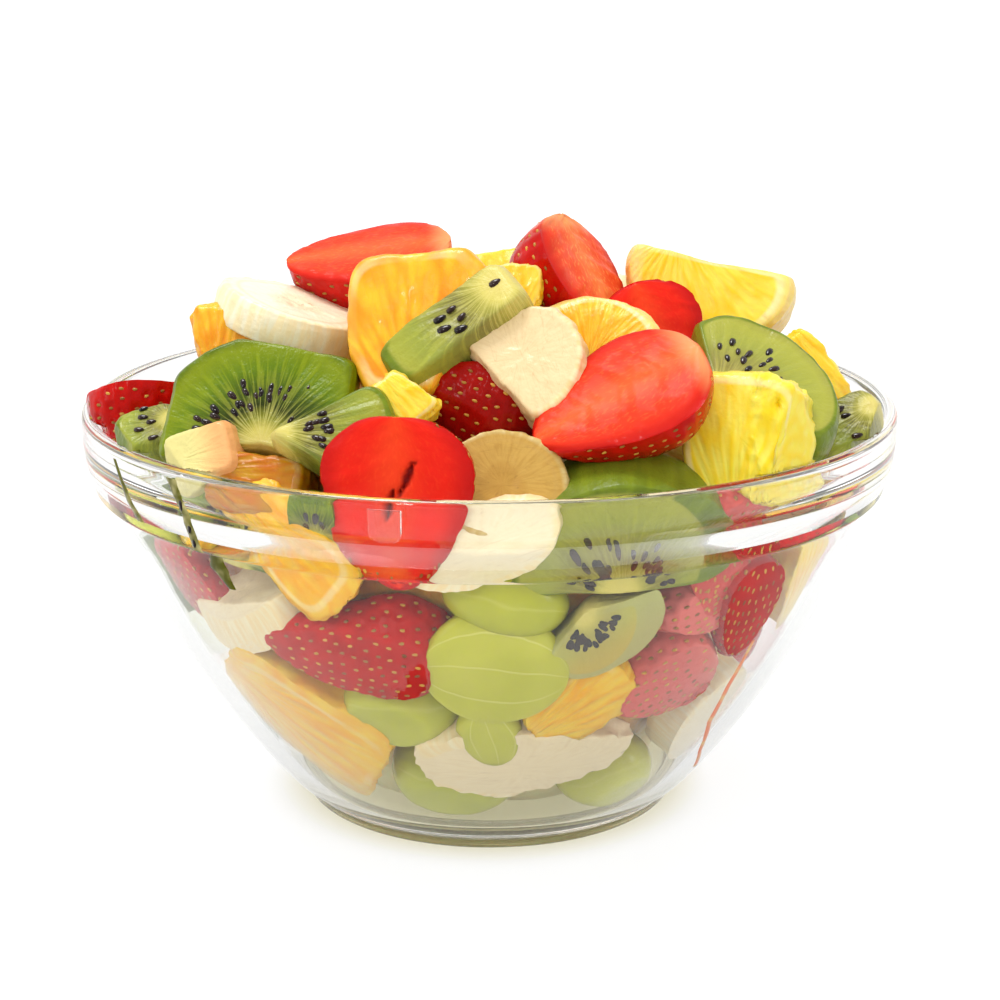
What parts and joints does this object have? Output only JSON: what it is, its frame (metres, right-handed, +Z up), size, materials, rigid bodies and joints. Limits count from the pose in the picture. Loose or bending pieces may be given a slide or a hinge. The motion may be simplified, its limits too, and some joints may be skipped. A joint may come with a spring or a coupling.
{
  "type": "fruit salad in a glass bowl",
  "caption": "Clear glass bowl with a thick rim band, heaped with fruit salad of cut strawberry, kiwi, banana, orange and green grape.",
  "frame": {"origin": "centre of the bowl's foot ring, on the surface it stands on", "axes": "+Z up the bowl's axis, -Y towards the front, +X to the right seen from the front"},
  "size_m": [0.18, 0.18, 0.1345],
  "materials": {
    "glass": "clear polished glass, thick at the foot and the rim band",
    "strawberry": "juicy cut fruit, moist, stands in for strawberry flesh and skin",
    "kiwi": "juicy cut fruit, moist, stands in for kiwi flesh",
    "banana": "soft cut fruit, satin, stands in for banana flesh",
    "orange": "juicy pulp, moist, stands in for orange flesh",
    "grape": "translucent, moist, stands in for green grape",
    "mixed_fruit": "mixed juicy fruit, moist, behind the pieces that show"
  },
  "bodies": {
    "root": {"bowl": "glass", "fruit_heap": "mixed_fruit", "strawberry_front": "strawberry", "strawberry_right": "strawberry", "strawberry_top_left": "strawberry", "strawberry_top": "strawberry", "kiwi_left": "kiwi", "kiwi_top": "kiwi", "kiwi_beside_strawberry": "kiwi", "orange_right": "orange", "kiwi_right": "kiwi", "orange_top": "orange", "orange_flap": "orange", "banana_middle": "banana", "banana_glass": "banana", "banana_front": "banana", "kiwi_front": "kiwi", "strawberry_low_left": "strawberry", "grape_half": "grape", "strawberry_dark": "strawberry", "strawberry_low_right": "strawberry", "kiwi_glass": "kiwi", "grape_low_half": "grape", "banana_low": "banana", "orange_low_left": "orange", "orange_glass_left": "orange", "banana_glass_left": "banana", "grape_left": "grape", "grape_low": "grape", "grape_behind_glass": "grape", "grape_low_right": "grape", "orange_centre_right": "orange", "orange_front_left": "orange", "kiwi_core": "kiwi", "kiwi_block": "kiwi", "kiwi_glass_left": "kiwi", "strawberry_left": "strawberry", "kiwi_rim_left": "kiwi", "strawberry_centre": "strawberry", "orange_fringe": "orange", "banana_top_left": "banana", "orange_left": "orange", "orange_back_right": "orange", "strawberry_behind": "strawberry", "orange_behind": "orange", "orange_right_edge": "orange", "kiwi_rim_right": "kiwi", "banana_shaded": "banana", "strawberry_band_right": "strawberry", "strawberry_mid_right": "strawberry", "strawberry_glass_left": "strawberry", "orange_band_right": "orange", "orange_glass_right": "orange", "banana_low_right": "banana"}
  },
  "joints": []
}
